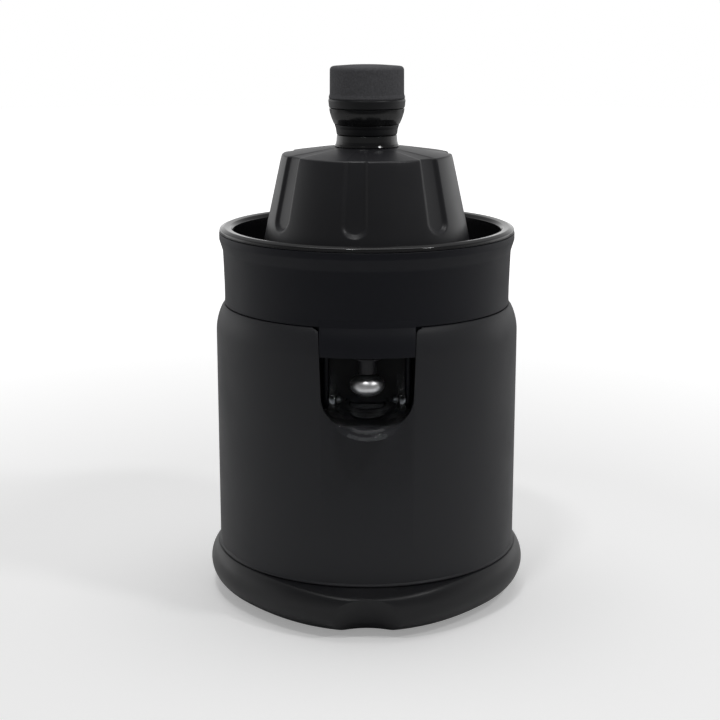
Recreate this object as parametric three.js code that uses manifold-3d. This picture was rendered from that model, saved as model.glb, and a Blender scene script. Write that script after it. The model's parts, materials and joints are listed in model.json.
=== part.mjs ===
// Citrus press juicer: housing, geared motor, sliding spindle, juice collector with a tilting
// spout, strainer, reamer cone and a press lid with a knob.
// Millimetres, +Z up, origin on the table under the middle of the base, front towards -Y.
import * as THREE from 'three';
import { mergeVertices } from 'three/addons/utils/BufferGeometryUtils.js';
import Module from 'manifold-3d';

const wasm = await Module();
wasm.setup();

// ---------------------------------------------------------------- driving dimensions
const GAP = 0.3;                 // air between pieces that touch
const ROUND = 44;                // facets round a large turned piece
const SMALL = 24;                // facets round a knob-sized piece
const TINY = 8;                  // facets round a screw or pin
const THREAD = 1.5;              // radius of the hole that a case screw bites into

const housing = { r: 82.7, wall: 2.5, bottom: 26.4, shoulder: 147, top: 162.1, mouth: 77.2 };
const notch = { topHalf: 24.8, bottomHalf: 23.7, bottom: 113, corner: 13.4 };
const base = { r: 71.2, z: 16.4, wide: 16.8, high: 15.1, bottom: 2, top: 26.1, inner: 77 };
const nose = { reach: 6.7, halfAngle: 52, ledge: 94 };
const scallop = { depth: 5.5, halfAngle: 11.5 };
const plate = { r: 76.6, bottom: 2.4, top: 5.4 };
const feet = { r: 8, ring: 60, stem: 3, angles: [0, 90, 180, 270] };
const baseScrews = { ring: 64, boss: 5, top: 40, length: 26, head: 3.2, angles: [45, 135, 225, 315] };
const inlet = { z: 14, r: 5, flange: 7.5, bore: 3.3, inside: 74 };

const deck = { r: 79.8, bottom: 134, top: 137, boss: 9, bossTop: 158, bossBore: 6.6 };
const pocket = { half: 25.5, back: -52, floor: 111, wall: 2, top: 150 };
const posts = { ring: 60, r: 4.5, length: 14, head: 3, angles: [25, 195, 315] };
const deckScrews = { ring: 72, lug: 5, lugBottom: 122, length: 12, head: 3, angles: [60, 180, 300] };
const bush = { bore: 4.85, r: 6.3, bottom: 131.6 };
const seal = { bore: 4.9, r: 9, top: 161 };

const gearPlate = { r: 66, bottom: 94, top: 97, journalHole: 7.4 };
const fine = 1.25;               // module of the first gear pair
const coarse = 1.5;              // module of the second gear pair
const teeth = { pinion: 12, wheel: 40, idler: 12, output: 44 };
const backlash = 0.42;
const firstCentres = fine * (teeth.pinion + teeth.wheel) / 2;
const secondCentres = coarse * (teeth.idler + teeth.output) / 2;
const motorAt = new THREE.Vector2(0, 44);

const motor = { r: 26.5, wall: 1.6, bottom: 42, top: 93.7, shaft: 2.5, core: 15.5 };
const magnet = { bottom: 53, top: 88, air: 1.5 };
const winding = { bottom: 55, height: 30, slots: 10 };
const commutator = { r: 6, bottom: 43, top: 50.5 };
const brush = { from: 6.5, to: 16, half: 2.5, bottom: 43.5, top: 49.5 };
const motorScrews = { ring: 16, length: 6, head: 2.8 };
const spindle = { r: 4.5, hex: 4.4, bottom: 89, top: 206, collar: 8 };
const spring = { r: 6.4, wire: 0.7, low: 115.2, high: 126.2, turns: 3.5 };
const switchBox = { half: 10, front: -7, back: 7, bottom: 72, top: 85.6, plunger: 2, sheet: 1.5 };

const collector = { skirt: 76.6, inner: 75.2, underside: 151.9, floor: 154.6, rim: 201.1 };
const chimney = { bore: 10, r: 12.5, top: 177 };
const tab = { inner: 78.6, bottom: 148, gap: 0.35 };
const outlet = { y: -70, r: 6, guide: 3.3 };
const hinge = { y: -61, z: 121, r: 2 };
const lug = { inner: 19.8, outer: 22.8, front: -66, back: -56, bottom: 116.5 };
const spout = { half: 19.2, arch: 14, rear: -57, level: -77, tip: -94, sill: 113.6, lip: 107.6 };
const spoutEdge = { top: 134, tipTop: 124, wall: 4.4, tipWall: 2.6, lean: 0.42 };
const seat = { r: 11.3, wall: 2, top: 124, dish: 4 };
const stopper = { r: 9, half: 5.8, z: 131.6, stem: 4.65 };

const strainer = { inner: 72.6, rim: 80.2, seam: 201.4, top: 204.1, floor: 170, chimney: 177 };
const slots = { count: 32, half: 1, near: [34, 24], far: [58, 64] };
const ring = { bore: 10.6, r: 15, bottom: 179.3, top: 181.3 };
const cone = { r: 37, bottom: 176.5, top: 226, ridges: 10 };
const lid = { bottomR: 60.5, bottom: 176.2, topR: 46, shoulder: 242.6, wall: 2.8, crown: 246.6 };
const lidFeet = { inner: 56.4, outer: 59.6, half: 4, bottom: 170.7, angles: [45, 135, 225, 315] };
const flutes = { count: 7, first: -97, halfAngle: 8.6, end: 207, depth: 2.6 };
const knob = { flare: 17.8, neck: 16.4, waist: 17.8, r: 20.6, top: 290 };

// ---------------------------------------------------------------- materials
const plastic = (color, roughness) => new THREE.MeshStandardMaterial({ color, roughness });
const metal = (color, roughness) => new THREE.MeshStandardMaterial({ color, roughness, metalness: 1 });
const looks = {
  shell: plastic(0x1c1b1e, 0.62),
  satin: plastic(0x19191c, 0.4),
  gloss: plastic(0x0b0b0d, 0.12),
  grip: plastic(0x2b2b2e, 0.75),
  rubber: plastic(0x161616, 0.9),
  white: plastic(0xdedbd2, 0.5),
  amber: plastic(0x8a6a3a, 0.6),
  clear: Object.assign(plastic(0xdfe6ea, 0.05), { transparent: true, opacity: 0.35 }),
  steel: metal(0xb8bbc0, 0.35),
  silver: metal(0xd5d7da, 0.3),
  copper: metal(0xb0673a, 0.4),
};

// ---------------------------------------------------------------- geometry helpers
const radians = THREE.MathUtils.degToRad;
const degrees = THREE.MathUtils.radToDeg;

// Welds shared corners, drops flat triangles and turns the faces outwards.
function closed(geometry) {
  const bare = geometry.clone();
  bare.deleteAttribute('normal');
  bare.deleteAttribute('uv');
  const welded = mergeVertices(bare, 1e-4);
  const place = welded.getAttribute('position');
  const source = welded.getIndex().array;
  const kept = [];
  let volume = 0;
  const [a, b, c] = [new THREE.Vector3(), new THREE.Vector3(), new THREE.Vector3()];
  for (let i = 0; i < source.length; i += 3) {
    const [p, q, r] = [source[i], source[i + 1], source[i + 2]];
    if (p === q || q === r || r === p) continue;
    kept.push(p, q, r);
    a.fromBufferAttribute(place, p);
    b.fromBufferAttribute(place, q);
    c.fromBufferAttribute(place, r);
    volume += a.dot(b.cross(c));
  }
  welded.setIndex(volume < 0 ? kept.reverse() : kept);
  return welded;
}

function toSolid(geometry) {
  const clean = closed(geometry);
  return new wasm.Manifold(new wasm.Mesh({
    numProp: 3,
    vertProperties: new Float32Array(clean.getAttribute('position').array),
    triVerts: new Uint32Array(clean.getIndex().array),
  }));
}

function toGeometry(solid) {
  const mesh = solid.getMesh();
  const geometry = new THREE.BufferGeometry();
  geometry.setAttribute('position', new THREE.BufferAttribute(mesh.vertProperties, 3));
  geometry.setIndex(new THREE.BufferAttribute(mesh.triVerts, 1));
  return geometry;
}

const join = (first, ...rest) => toGeometry(rest.reduce((sum, g) => sum.add(toSolid(g)), toSolid(first)));
const cut = (first, ...rest) => toGeometry(rest.reduce((sum, g) => sum.subtract(toSolid(g)), toSolid(first)));
const common = (first, second) => toGeometry(toSolid(first).intersect(toSolid(second)));

// A closed outline of [radius, height] points turned about +Z.
function turned(points, facets = ROUND) {
  const outline = points.map(([r, z]) => new THREE.Vector2(r, z));
  const first = outline[0];
  const last = outline[outline.length - 1];
  const onAxis = first.x === 0 && last.x === 0;
  if (!onAxis) outline.push(first.clone());
  return closed(new THREE.LatheGeometry(outline, facets).rotateX(Math.PI / 2).rotateZ(Math.PI / 2));
}

const tube = (inner, outer, low, high, facets) =>
  turned([[inner, low], [outer, low], [outer, high], [inner, high]], facets);
const rod = (r, low, high, facets = TINY) => turned([[0, low], [r, low], [r, high], [0, high]], facets);

function box(x0, x1, y0, y1, z0, z1) {
  const size = new THREE.BoxGeometry(x1 - x0, y1 - y0, z1 - z0);
  return size.translate((x0 + x1) / 2, (y0 + y1) / 2, (z0 + z1) / 2);
}

const polar = (r, angle) => [r * Math.cos(radians(angle)), r * Math.sin(radians(angle))];
const at = (geometry, x, y, z = 0) => geometry.clone().translate(x, y, z);
const along = (geometry, angle) => geometry.clone().rotateZ(radians(angle));

// Moves every corner in or out by bulge(angle in degrees, radius, height).
function bulged(geometry, bulge) {
  const place = geometry.getAttribute('position');
  for (let i = 0; i < place.count; i += 1) {
    const [x, y, z] = [place.getX(i), place.getY(i), place.getZ(i)];
    const r = Math.hypot(x, y);
    if (r < 1e-6) continue;
    const k = (r + bulge(degrees(Math.atan2(y, x)), r, z)) / r;
    place.setXY(i, x * k, y * k);
  }
  return geometry;
}

// The angle in degrees between a direction and a centre line, from 0 to 180.
const away = (angle, centre) => Math.abs(((angle - centre + 540) % 360) - 180);
const swell = (x) => (x >= 1 ? 0 : Math.cos(x * Math.PI / 2) ** 2);

function screw(shaft, length, head, headHeight) {
  return turned([[0, -headHeight], [head * 0.8, -headHeight], [head, 0], [shaft, 0], [shaft, length],
    [0, length]], TINY);
}

const caseScrew = ({ length, head }) => screw(THREAD - GAP, length, head, 1.8);

// ---------------------------------------------------------------- housing and base
// The outer line of the body's shoulder, from the straight wall up to the mouth.
const shoulderLine = [[housing.r, housing.shoulder], [82.5, 150.4], [81.9, 153.7], [81.1, 157.1],
  [79.8, 160.2], [78.4, 161.9]];

function notchCutter() {
  const { topHalf, bottomHalf, bottom, corner } = notch;
  const shape = new THREE.Shape();
  shape.moveTo(-topHalf, housing.top + 5);
  shape.lineTo(-bottomHalf, bottom + corner);
  shape.absarc(-bottomHalf + corner, bottom + corner, corner, Math.PI, Math.PI * 1.5, false);
  shape.lineTo(bottomHalf - corner, bottom);
  shape.absarc(bottomHalf - corner, bottom + corner, corner, -Math.PI / 2, 0, false);
  shape.lineTo(topHalf, housing.top + 5);
  const block = new THREE.ExtrudeGeometry(shape, { depth: 60, bevelEnabled: false, curveSegments: 5 });
  return block.rotateX(Math.PI / 2).translate(0, -50, 0);
}

function housingShape() {
  const inside = housing.r - housing.wall;
  const shell = turned([[inside, housing.bottom], [housing.r + 0.2, housing.bottom], ...shoulderLine,
    [housing.mouth, housing.top], [housing.mouth, 158.5], [inside, 151]]);
  const bosses = baseScrews.angles.flatMap((angle) => {
    const [x, y] = polar(baseScrews.ring, angle);
    return [at(tube(THREAD, baseScrews.boss, plate.top + GAP, baseScrews.top, TINY), x, y),
      along(box(baseScrews.ring + 4.5, inside + 1, -1.5, 1.5, 30, baseScrews.top), angle)];
  });
  const lugs = deckScrews.angles.flatMap((angle) => {
    const [x, y] = polar(deckScrews.ring, angle);
    return [at(tube(THREAD, deckScrews.lug, deckScrews.lugBottom, deck.bottom - GAP, TINY), x, y),
      along(box(deckScrews.ring + 4.5, inside + 1, -2, 2, deckScrews.lugBottom, deck.bottom - GAP), angle)];
  });
  return join(cut(shell, notchCutter()), ...bosses, ...lugs);
}

// The base ring bulges into a nose under the spout, with a ledge above it and a hollow for a glass.
function baseRingShape() {
  const side = (t) => [base.r + base.wide * Math.cos(t), base.z + base.high * Math.sin(t)];
  const outline = [[base.inner, base.bottom + 1], [base.inner + 0.6, base.bottom]];
  for (const t of [-58, -34, -12, 10, 28]) outline.push(side(radians(t)));
  outline.push([84.6, base.top - 1.2], [83.6, base.top], [base.inner, base.top], [base.inner, 8.2],
    [71.5, 8.2], [71.5, plate.top + GAP], [base.inner, plate.top + GAP]);
  const facets = 52;
  const body = bulged(turned(outline, facets), (angle, r, z) => {
    if (r < 80) return 0;
    const off = away(angle, -90);
    const forward = nose.reach * swell(off / nose.halfAngle);
    const ledge = z > 20 ? (nose.ledge - nose.reach - r) * swell(off / 44) * (r > 84 ? 1 : 0.6) : 0;
    const bite = z < 24 ? scallop.depth * swell(off / scallop.halfAngle) : 0;
    return forward + ledge - bite;
  });
  const hole = rod(inlet.r + GAP, 60, 100, 16).rotateX(-Math.PI / 2).translate(0, 0, inlet.z);
  return cut(body, hole);
}

function basePlateShape() {
  const holes = [
    ...baseScrews.angles.map((angle) => at(rod(THREAD + GAP, 0, 9), ...polar(baseScrews.ring, angle))),
    ...feet.angles.map((angle) => at(rod(feet.stem + GAP, 0, 9), ...polar(feet.ring, angle))),
  ];
  const vents = [-24, -12, 0, 12, 24].map((x) => box(x - 2, x + 2, -20, 20, 0, 9));
  return cut(rod(plate.r, plate.bottom, plate.top, ROUND), ...holes, ...vents);
}

const footShape = () => turned([[0, 0], [feet.r - 1, 0], [feet.r, 1], [feet.r - 0.4, plate.bottom - GAP],
  [feet.stem, plate.bottom - GAP], [feet.stem, plate.top + 2], [0, plate.top + 2]], 12);

const inletShape = (tip) => turned([[inlet.bore, inlet.inside], [inlet.r, inlet.inside],
  [inlet.r, 88.3], [inlet.flange, 88.3], [inlet.flange, 90], [inlet.r, tip], [inlet.bore, tip]], 16)
  .rotateX(-Math.PI / 2).translate(0, 0, inlet.z);

// ---------------------------------------------------------------- deck and gearbox
function deckShape() {
  const { half, back, floor, wall, top } = pocket;
  const disc = rod(deck.r, deck.bottom, deck.top, ROUND);
  const well = common(box(-half - wall, half + wall, -90, back + wall, floor - wall, top),
    rod(deck.r - 0.4, 100, 160, ROUND));
  const legs = posts.angles.map((angle) => at(rod(posts.r, gearPlate.top + GAP, deck.bottom + 1, 12),
    ...polar(posts.ring, angle)));
  const bores = posts.angles.map((angle) => at(rod(THREAD, 90, 110), ...polar(posts.ring, angle)));
  const hole = rod(THREAD + GAP, 130, 140);
  const holes = deckScrews.angles.map((angle) => at(hole, ...polar(deckScrews.ring, angle)));
  const tower = rod(deck.boss, deck.bottom, deck.bossTop, 24);
  return cut(join(disc, well, tower, ...legs), box(-half, half, -95, back, floor, top + 5),
    rod(deck.bossBore, 120, 170, 24), ...bores, ...holes);
}

// A spur gear with tooth 0 along +X: involute flanks above the base circle, radial below. A wheel's
// flanks are so nearly straight that the root and tip are enough for them.
function gearShape(count, module_, bore, low, high, boreFacets = 16) {
  const pitch = module_ * count / 2;
  const rootR = pitch - 1.3 * module_;
  const tipR = pitch + 0.8 * module_;
  const baseR = pitch * Math.cos(radians(20));
  const involute = (a) => Math.tan(a) - a;
  const halfThickness = (r) => Math.PI / (2 * count) - backlash / (2 * pitch) + involute(radians(20))
    - involute(Math.acos(Math.min(1, baseR / Math.max(r, baseR))));
  const radii = count > 20 ? [rootR, tipR] : [rootR, pitch, tipR];
  const shape = new THREE.Shape();
  for (let i = 0; i < count; i += 1) {
    const middle = 2 * Math.PI * i / count;
    const rising = radii.map((r) => [r, middle - halfThickness(r)]);
    const falling = radii.map((r) => [r, middle + halfThickness(r)]).reverse();
    const points = [...rising, ...falling];
    for (const [j, [r, angle]] of points.entries()) {
      const [x, y] = [r * Math.cos(angle), r * Math.sin(angle)];
      if (i === 0 && j === 0) shape.moveTo(x, y);
      else shape.lineTo(x, y);
    }
  }
  const solid = new THREE.ExtrudeGeometry(shape, { depth: high - low, bevelEnabled: false });
  return cut(solid.translate(0, 0, low), rod(bore, low - 1, high + 1, boreFacets));
}

const hexRod = (r, low, high) => rod(r, low, high, 6);

// Where the idler sits: at its two centre distances from the spindle and the motor.
function idlerCentre() {
  const far = motorAt.length();
  const turn = Math.acos((far ** 2 + secondCentres ** 2 - firstCentres ** 2) / (2 * far * secondCentres));
  const heading = motorAt.angle() + turn;
  return new THREE.Vector2(Math.cos(heading), Math.sin(heading)).multiplyScalar(secondCentres);
}
const idlerAt = idlerCentre();
const motorToIdler = degrees(idlerAt.clone().sub(motorAt).angle());
const idlerToSpindle = degrees(idlerAt.clone().negate().angle());

const level = { wheel: [98, 103], idler: [103, 113], pinion: [97.6, 103.4], output: [104.6, 112.4] };

const pinionShape = () =>
  along(gearShape(teeth.pinion, fine, motor.shaft + GAP, ...level.pinion, TINY), motorToIdler);

function compoundShape() {
  const wheel = gearShape(teeth.wheel, fine, 3 + GAP, ...level.wheel, TINY);
  const idler = gearShape(teeth.idler, coarse, 3 + GAP, ...level.idler, TINY);
  return join(along(wheel, motorToIdler + 180 + 180 / teeth.wheel), along(idler, idlerToSpindle));
}

function outputGearShape() {
  const turn = idlerToSpindle + 180 + 180 / teeth.output;
  const rim = along(gearShape(teeth.output, coarse, 7, ...level.output), turn);
  const hub = turned([[0, 92], [7, 92], [7, 97.3], [9, 97.3], [9, 114], [0, 114]], 24);
  return cut(join(rim, hub), hexRod(spindle.hex + GAP * 1.2, 90, 116));
}

function gearPlateShape() {
  const holes = [rod(gearPlate.journalHole, 90, 100, 24),
    at(rod(motor.shaft + 0.6, 90, 100), motorAt.x, motorAt.y),
    at(rod(3 + GAP, 90, 100), idlerAt.x, idlerAt.y)];
  const screwPlaces = [...posts.angles.map((angle) => polar(posts.ring, angle)), ...motorScrewPlaces()];
  const screwHoles = screwPlaces.map(([x, y]) => at(rod(THREAD + GAP, 90, 100), x, y));
  return cut(rod(gearPlate.r, gearPlate.bottom, gearPlate.top, 40), ...holes, ...screwHoles);
}

// Two screws hold the motor, on the line across the direction of the idler.
function motorScrewPlaces() {
  return [90, -90].map((turn) => {
    const [x, y] = polar(motorScrews.ring, motorToIdler + turn);
    return [motorAt.x + x, motorAt.y + y];
  });
}

// ---------------------------------------------------------------- motor
function motorCanShape() {
  const { r, wall, bottom, top, shaft } = motor;
  const can = turned([[r - wall, bottom], [r, bottom], [r, top - 1], [r - 1, top], [shaft + 0.6, top],
    [shaft + 0.6, top - 2.4], [r - wall, top - 2.4]], 20);
  const hole = rod(THREAD + GAP, 85, 100);
  const holes = motorScrewPlaces().map(([x, y]) => at(hole, x - motorAt.x, y - motorAt.y));
  return cut(can, ...holes);
}

function armatureShape() {
  const shape = new THREE.Shape();
  for (let i = 0; i < winding.slots; i += 1) {
    const half = [[10, 13], [14.2, 13], [motor.core, 15]];
    const tooth = [...half.map(([r, turn]) => [r, -turn]), ...half.reverse()];
    for (const [r, turn] of tooth) {
      const [x, y] = polar(r, 360 * i / winding.slots + turn);
      if (i === 0 && r === 10 && turn < 0) shape.moveTo(x, y);
      else shape.lineTo(x, y);
    }
  }
  const stack = new THREE.ExtrudeGeometry(shape, { depth: winding.height, bevelEnabled: false });
  const core = stack.translate(0, 0, winding.bottom);
  return cut(core, rod(motor.shaft + GAP, 50, 90));
}

const endBellShape = () => turned([[motor.shaft + 0.6, 38], [motor.r - 3, 38], [motor.r, 40],
  [motor.r, motor.bottom - GAP], [motor.shaft + 0.6, motor.bottom - GAP]], 20);

// ---------------------------------------------------------------- spindle and switch
function spindleShape() {
  const round = turned([[0, 120], [spindle.r, 120], [spindle.r, 127.6], [spindle.collar, 127.6],
    [spindle.collar, 130.6], [spindle.r, 130.6], [spindle.r, 176], [0, 176]], 24);
  return join(round, hexRod(spindle.hex, spindle.bottom, 121), hexRod(spindle.hex, 175, spindle.top));
}

function springShape() {
  const steps = spring.turns * 10;
  const points = [];
  for (let i = 0; i <= steps; i += 1) {
    const [x, y] = polar(spring.r, 36 * i);
    points.push(new THREE.Vector3(x, y, spring.low + (spring.high - spring.low) * i / steps));
  }
  const wire = new THREE.Shape(new THREE.Path().absarc(0, 0, spring.wire, 0, Math.PI * 2).getPoints(2));
  return new THREE.ExtrudeGeometry(wire, {
    steps, extrudePath: new THREE.CatmullRomCurve3(points), bevelEnabled: false });
}

function switchShape() {
  const { half, front, back, bottom, top, plunger } = switchBox;
  return cut(box(-half, half, front, back, bottom, top), rod(plunger + GAP, top - 8, top + 1, 12));
}

function bracketShape() {
  const { half, front, back, bottom, sheet } = switchBox;
  const [inside, outside] = [half + GAP, half + GAP + sheet];
  return join(box(-outside, outside, front, back, bottom - 2, bottom - GAP),
    box(-outside, -inside, front, back, bottom - 2, gearPlate.bottom - GAP),
    box(inside, outside, front, back, bottom - 2, gearPlate.bottom - GAP));
}

const terminalShape = () => cut(box(-14, 14, 44, 54, plate.top + GAP, 16),
  ...[-9, 0, 9].map((x) => at(rod(2.2, 40, 60, 8).rotateX(-Math.PI / 2), x, 0, 11)));

// ---------------------------------------------------------------- juice collector and spout
// The tapered block that the collector's front tab keeps inside the notch.
function tabWedge() {
  const { topHalf, bottomHalf, bottom, corner } = notch;
  const slope = (topHalf - bottomHalf) / (housing.top + 5 - bottom - corner);
  const half = (z) => bottomHalf + slope * (z - bottom - corner) - tab.gap;
  const [low, high] = [tab.bottom - 2, 170];
  const shape = new THREE.Shape([[-half(low), low], [half(low), low], [half(high), high], [-half(high), high]]
    .map(([x, z]) => new THREE.Vector2(x, z)));
  const block = new THREE.ExtrudeGeometry(shape, { depth: 40, bevelEnabled: false });
  return block.rotateX(Math.PI / 2).translate(0, -60, 0);
}

function collectorShape() {
  const { skirt, inner, underside, floor, rim } = collector;
  const bowl = turned([[chimney.bore, underside], [skirt, underside], [skirt, 162.5], [78, 162.5],
    [77.8, 165], [78, 178], [78.5, 190], [79.2, 196.6], [80.3, 200.4], [80, rim], [77.2, rim],
    [inner, 192], [inner, floor], [chimney.r, floor], [chimney.r, chimney.top],
    [chimney.bore, chimney.top]]);
  const apron = turned([[tab.inner, tab.bottom], [housing.r, tab.bottom], ...shoulderLine.slice(1),
    [77.9, 163.5], [75.9, 163.5], [75.9, underside + 1], [tab.inner, underside + 1]]);
  const front = common(apron, tabWedge());
  const lugs = [1, -1].map((side) => {
    const [a, b] = [side * lug.inner, side * lug.outer].sort((p, q) => p - q);
    return box(a, b, lug.front, lug.back, lug.bottom, underside + 1);
  });
  const pinHole = rod(hinge.r + GAP, -30, 30, 12).rotateY(Math.PI / 2).translate(0, hinge.y, hinge.z);
  const drain = at(rod(outlet.r, underside - 1, floor + 1, 16), 0, outlet.y);
  const bridge = box(-outlet.r - 1, outlet.r + 1, outlet.y - 4.6, outlet.y + 4.6, underside, underside + 1.6);
  const guide = at(rod(outlet.guide, underside - 1, floor + 1, 12), 0, outlet.y);
  const drained = cut(join(bowl, front, ...lugs), drain, pinHole);
  return cut(join(drained, bridge), guide);
}

// Half an ellipse under a level line at z, as [x, z] points from left to right.
function hollowLine(halfWidth, z, depth) {
  const arc = 7;
  return Array.from({ length: arc + 1 }, (_, i) => {
    const t = Math.PI + Math.PI * i / arc;
    return [halfWidth * Math.cos(t), z + depth * Math.sin(t)];
  });
}

// Skins a row of closed loops with the same number of points and caps both ends.
function loft(loops) {
  const count = loops[0].length;
  const corners = loops.flat().flatMap(([x, y, z]) => [x, y, z]);
  const faces = [];
  for (let s = 0; s < loops.length - 1; s += 1) {
    for (let i = 0; i < count; i += 1) {
      const [a, b] = [s * count + i, s * count + (i + 1) % count];
      faces.push(a, b, a + count, b, b + count, a + count);
    }
  }
  const flat = loops[0].map(([x, , z]) => new THREE.Vector2(x, z));
  const last = (loops.length - 1) * count;
  for (const [a, b, c] of THREE.ShapeUtils.triangulateShape(flat, [])) {
    faces.push(c, b, a, last + a, last + b, last + c);
  }
  const geometry = new THREE.BufferGeometry();
  geometry.setAttribute('position', new THREE.Float32BufferAttribute(corners, 3));
  geometry.setIndex(faces);
  return closed(geometry);
}

// The spout is level in the pocket. In front of it the floor bends down and the top edge slopes.
function spoutShape() {
  const { half, arch, rear, level, tip, sill, lip } = spout;
  const { top, tipTop, wall, tipWall, lean } = spoutEdge;
  const stations = [rear, level, -81, -84.5, -89, tip].map((y) => {
    const bend = Math.max(0, (level - y) / (level - tip));
    const bottom = sill + (lip - sill) * bend ** 2.4;
    return { y, bottom, lean: lean * bend ** 1.6, spring: bottom + arch,
      top: top + (tipTop - top) * bend ** 1.3,
      wall: wall + (tipWall - wall) * (rear - y) / (rear - tip) };
  });
  const leaning = (s, points) => points.map(([x, z]) => [x, s.y + s.lean * (z - s.bottom), z]);
  const skin = (slice) => loft(stations.map((s) => leaning(s, slice(s))));
  const outside = (s) => [[-half, s.top], ...hollowLine(half, s.spring, arch), [half, s.top]];
  const inside = (s) => [[-half + s.wall, s.top],
    ...hollowLine(half - s.wall, s.spring, arch - s.wall * 0.75), [half - s.wall, s.top]];
  const channel = skin((s) => [...outside(s), ...inside(s).reverse()]);
  const cup = at(rod(seat.r, sill, seat.top, 24), 0, outlet.y);
  const dish = at(rod(seat.r - seat.wall, seat.top - seat.dish, seat.top + 1, 24), 0, outlet.y);
  const pinHole = rod(hinge.r + GAP, -30, 30, 12).rotateY(Math.PI / 2).translate(0, hinge.y, hinge.z);
  return cut(join(channel, common(cup, skin(outside))), dish, pinHole);
}

const pinShape = (side) => rod(hinge.r, 14.4, lug.outer - 0.2, 12).rotateY(side * Math.PI / 2)
  .translate(0, hinge.y, hinge.z);

function stopperButtonShape() {
  const outline = [];
  for (let i = 0; i <= 8; i += 1) {
    const t = -Math.PI / 2 + Math.PI * i / 8;
    outline.push([i % 8 === 0 ? 0 : stopper.r * Math.cos(t), stopper.z + stopper.half * Math.sin(t)]);
  }
  return at(turned(outline, 24), 0, outlet.y);
}

const stopperStemShape = () => at(turned([[0, 137.8], [stopper.stem, 137.8], [stopper.stem, 145.2],
  [7, 145.2], [7, 146.3], [3, 146.3], [3, 158], [0, 158]], 16), 0, outlet.y);
const outletSealShape = () => at(tube(3 + GAP, 7.6, 146.6, 148.4, 16), 0, outlet.y);

// ---------------------------------------------------------------- strainer, cone and lid
function strainerShape() {
  const { inner, rim, seam, top, floor } = strainer;
  const tray = turned([[13, strainer.chimney], [13, floor - 0.5], [16, floor - 0.6], [71, floor - 2.4],
    [73.8, floor + 0.8], [74.7, 191], [76.6, seam], [rim, seam], [79.8, 203.2], [77.6, top], [74.2, 203.7],
    [inner + 0.2, 202.2], [inner, 198], [71.6, floor + 2.4], [69.5, floor], [16.5, floor + 1.8],
    [15, strainer.chimney]]);
  const cuts = [];
  for (let i = 0; i < slots.count; i += 1) {
    const [near, far] = [slots.near[i % 2], slots.far[i % 2]];
    const turn = 360 * (i + 0.5) / slots.count;
    cuts.push(along(box(near, far, -slots.half, slots.half, floor - 6, floor + 8), turn));
  }
  return cut(tray, ...cuts);
}

function coneShape() {
  const { r, bottom, top, ridges } = cone;
  const skin = turned([[0, top], [4.2, top - 1.4], [9, top - 7], [17, top - 20], [26, top - 34],
    [r, bottom + 1.5], [r, bottom], [r - 3, bottom], [22, top - 33], [8.5, top - 17],
    [8.5, ring.top + GAP], [0, ring.top + GAP]], ridges * 4);
  const outward = bulged(skin, (angle, radius, z) => {
    const onSkin = radius > 8.6 && z > bottom + 2 && radius > r - (z - bottom) * 0.93 - 1.5;
    const groove = (1 - Math.cos(radians(angle * ridges))) / 2;
    return onSkin ? -1.4 * groove * Math.min(1, radius / 20) : 0;
  });
  return cut(outward, hexRod(spindle.hex + GAP * 1.2, ring.top - 1, spindle.top + GAP * 4));
}

// A tapered shell with shallow flutes. Four blocks under its rim stand on the strainer's floor.
function lidShape() {
  const { bottomR, bottom, topR, shoulder, wall, crown } = lid;
  const outline = [[bottomR - wall, bottom], [bottomR, bottom]];
  const slope = (bottomR - topR) / (shoulder - bottom);
  for (const z of [205, 213, 240.6]) outline.push([bottomR - slope * (z - bottom), z]);
  outline.push([topR - 0.9, shoulder + 0.5], [knob.flare + 0.4, crown], [6, crown], [6, crown - wall],
    [topR - wall - 1, shoulder - wall + 0.2]);
  for (const z of [213, 205]) outline.push([bottomR - wall - slope * (z - bottom), z]);
  const shell = bulged(turned(outline, flutes.count * 8), (angle, r, z) => {
    if (z < flutes.end - 2 || r < 30) return 0;
    const nearest = Math.min(...Array.from({ length: flutes.count }, (_, i) =>
      away(angle, flutes.first + 360 * i / flutes.count)));
    const rise = THREE.MathUtils.clamp((z - flutes.end + 2) / 8, 0, 1);
    return -flutes.depth * rise * swell(nearest / flutes.halfAngle);
  });
  const blocks = lidFeet.angles.map((angle) => along(
    box(lidFeet.inner, lidFeet.outer, -lidFeet.half, lidFeet.half, lidFeet.bottom, bottom + 3), angle));
  return join(shell, ...blocks);
}

const bolt = 2.5 + GAP;
const neckFoot = lid.crown + GAP;
const neckShape = () => turned([[bolt, neckFoot], [knob.flare, neckFoot], [knob.neck + 0.5, 248.2],
  [knob.neck, 249.8], [knob.neck - 0.2, 253], [bolt, 253]], SMALL);
const collarShape = () => turned([[bolt, 253.3], [knob.neck - 0.2, 253.3], [knob.neck + 0.4, 256.4],
  [knob.waist - 0.3, 258.2], [knob.waist - 0.5, 258.5], [bolt, 258.5]], SMALL);
const knobBaseShape = () => turned([[bolt, 258.8], [knob.waist, 258.8], [19, 261.7], [20, 264.9], [20.3, 267],
  [14, 267], [14, 276], [bolt, 276]], SMALL);
const gripShape = () => turned([[14 + GAP, 267.3], [knob.r, 267.3], [knob.r, 271.5], [19.95, 274.8],
  [19.85, 287], [19.2, 288.6], [16.5, 289.5], [0, knob.top], [0, 277], [14 + GAP, 277]], SMALL);
const knobScrewShape = () => screw(2.5, 32.6, 5, 3).translate(0, 0, lid.crown - lid.wall - GAP);

// ---------------------------------------------------------------- the assembly
const juicer = new THREE.Group();

function add(name, geometry, look, x = 0, y = 0) {
  const mesh = new THREE.Mesh(geometry, looks[look]);
  mesh.name = name;
  mesh.position.set(x, y, 0);
  juicer.add(mesh);
  return mesh;
}

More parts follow.
